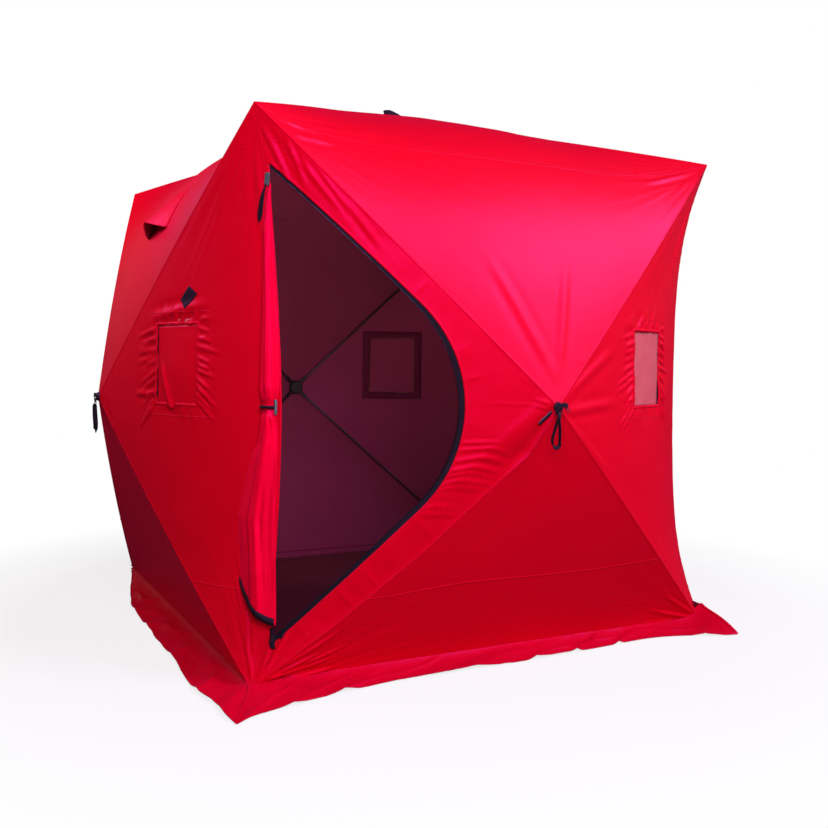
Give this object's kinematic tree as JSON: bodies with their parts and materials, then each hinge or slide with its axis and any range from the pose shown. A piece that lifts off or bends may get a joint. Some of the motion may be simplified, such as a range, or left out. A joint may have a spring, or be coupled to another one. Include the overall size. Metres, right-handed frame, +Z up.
{
  "type": "pop-up ice fishing shelter",
  "caption": "Pop-up cloth shelter for ice fishing: a hub and rod frame inside a taut cloth cube, with an open zipped doorway, windows and a snow skirt.",
  "frame": {"origin": "on the ground, under the middle of the hut", "axes": "+Z up; -Y out of the wall with the doorway; +X to the right seen from the doorway's side"},
  "size_m": [2.4112, 2.4112, 2.0056],
  "materials": {
    "shell_cloth": "coated polyester cloth, soft sheen",
    "skirt_cloth": "coated polyester cloth, smooth",
    "hub_plastic": "moulded nylon, matt",
    "rod_fibreglass": "pultruded fibreglass, satin",
    "window_film": "clear flexible film",
    "black_webbing": "woven webbing",
    "zip_tape": "woven zip tape with moulded teeth",
    "slider_metal": "blue-grey enamel"
  },
  "bodies": {
    "root": {"front_wall_over_door": "shell_cloth", "front_wall_under_door": "shell_cloth", "front_wall_door_seam_side": "shell_cloth", "front_wall_door_hub_side": "shell_cloth", "front_wall_right": "shell_cloth", "front_wall_upper": "shell_cloth", "front_wall_lower": "shell_cloth", "roof_front": "shell_cloth", "front_skirt": "skirt_cloth", "right_wall_left": "shell_cloth", "right_wall_right": "shell_cloth", "right_wall_upper": "shell_cloth", "right_wall_lower": "shell_cloth", "roof_right": "shell_cloth", "right_skirt": "skirt_cloth", "back_wall_left": "shell_cloth", "back_wall_right": "shell_cloth", "back_wall_upper": "shell_cloth", "back_wall_lower": "shell_cloth", "roof_back": "shell_cloth", "back_skirt": "skirt_cloth", "left_wall_left": "shell_cloth", "left_wall_right": "shell_cloth", "left_wall_upper": "shell_cloth", "left_wall_lower": "shell_cloth", "roof_left": "shell_cloth", "left_skirt": "skirt_cloth", "wall_hubs": "hub_plastic", "roof_hub": "hub_plastic", "rods": "rod_fibreglass", "top_corner_sockets": "hub_plastic", "ground_corner_sockets": "hub_plastic", "window_panes": "window_film", "window_bands": "black_webbing", "door_zip": "zip_tape", "door_flap": "shell_cloth", "door_tie_strap": "black_webbing", "door_tie_toggle": "slider_metal", "door_zip_slider": "slider_metal", "door_pull_tab": "black_webbing", "window_covers": "shell_cloth", "diamond_patch": "black_webbing", "anchor_strap": "black_webbing", "vent_hoods": "shell_cloth", "pull_straps": "black_webbing"}
  },
  "joints": []
}
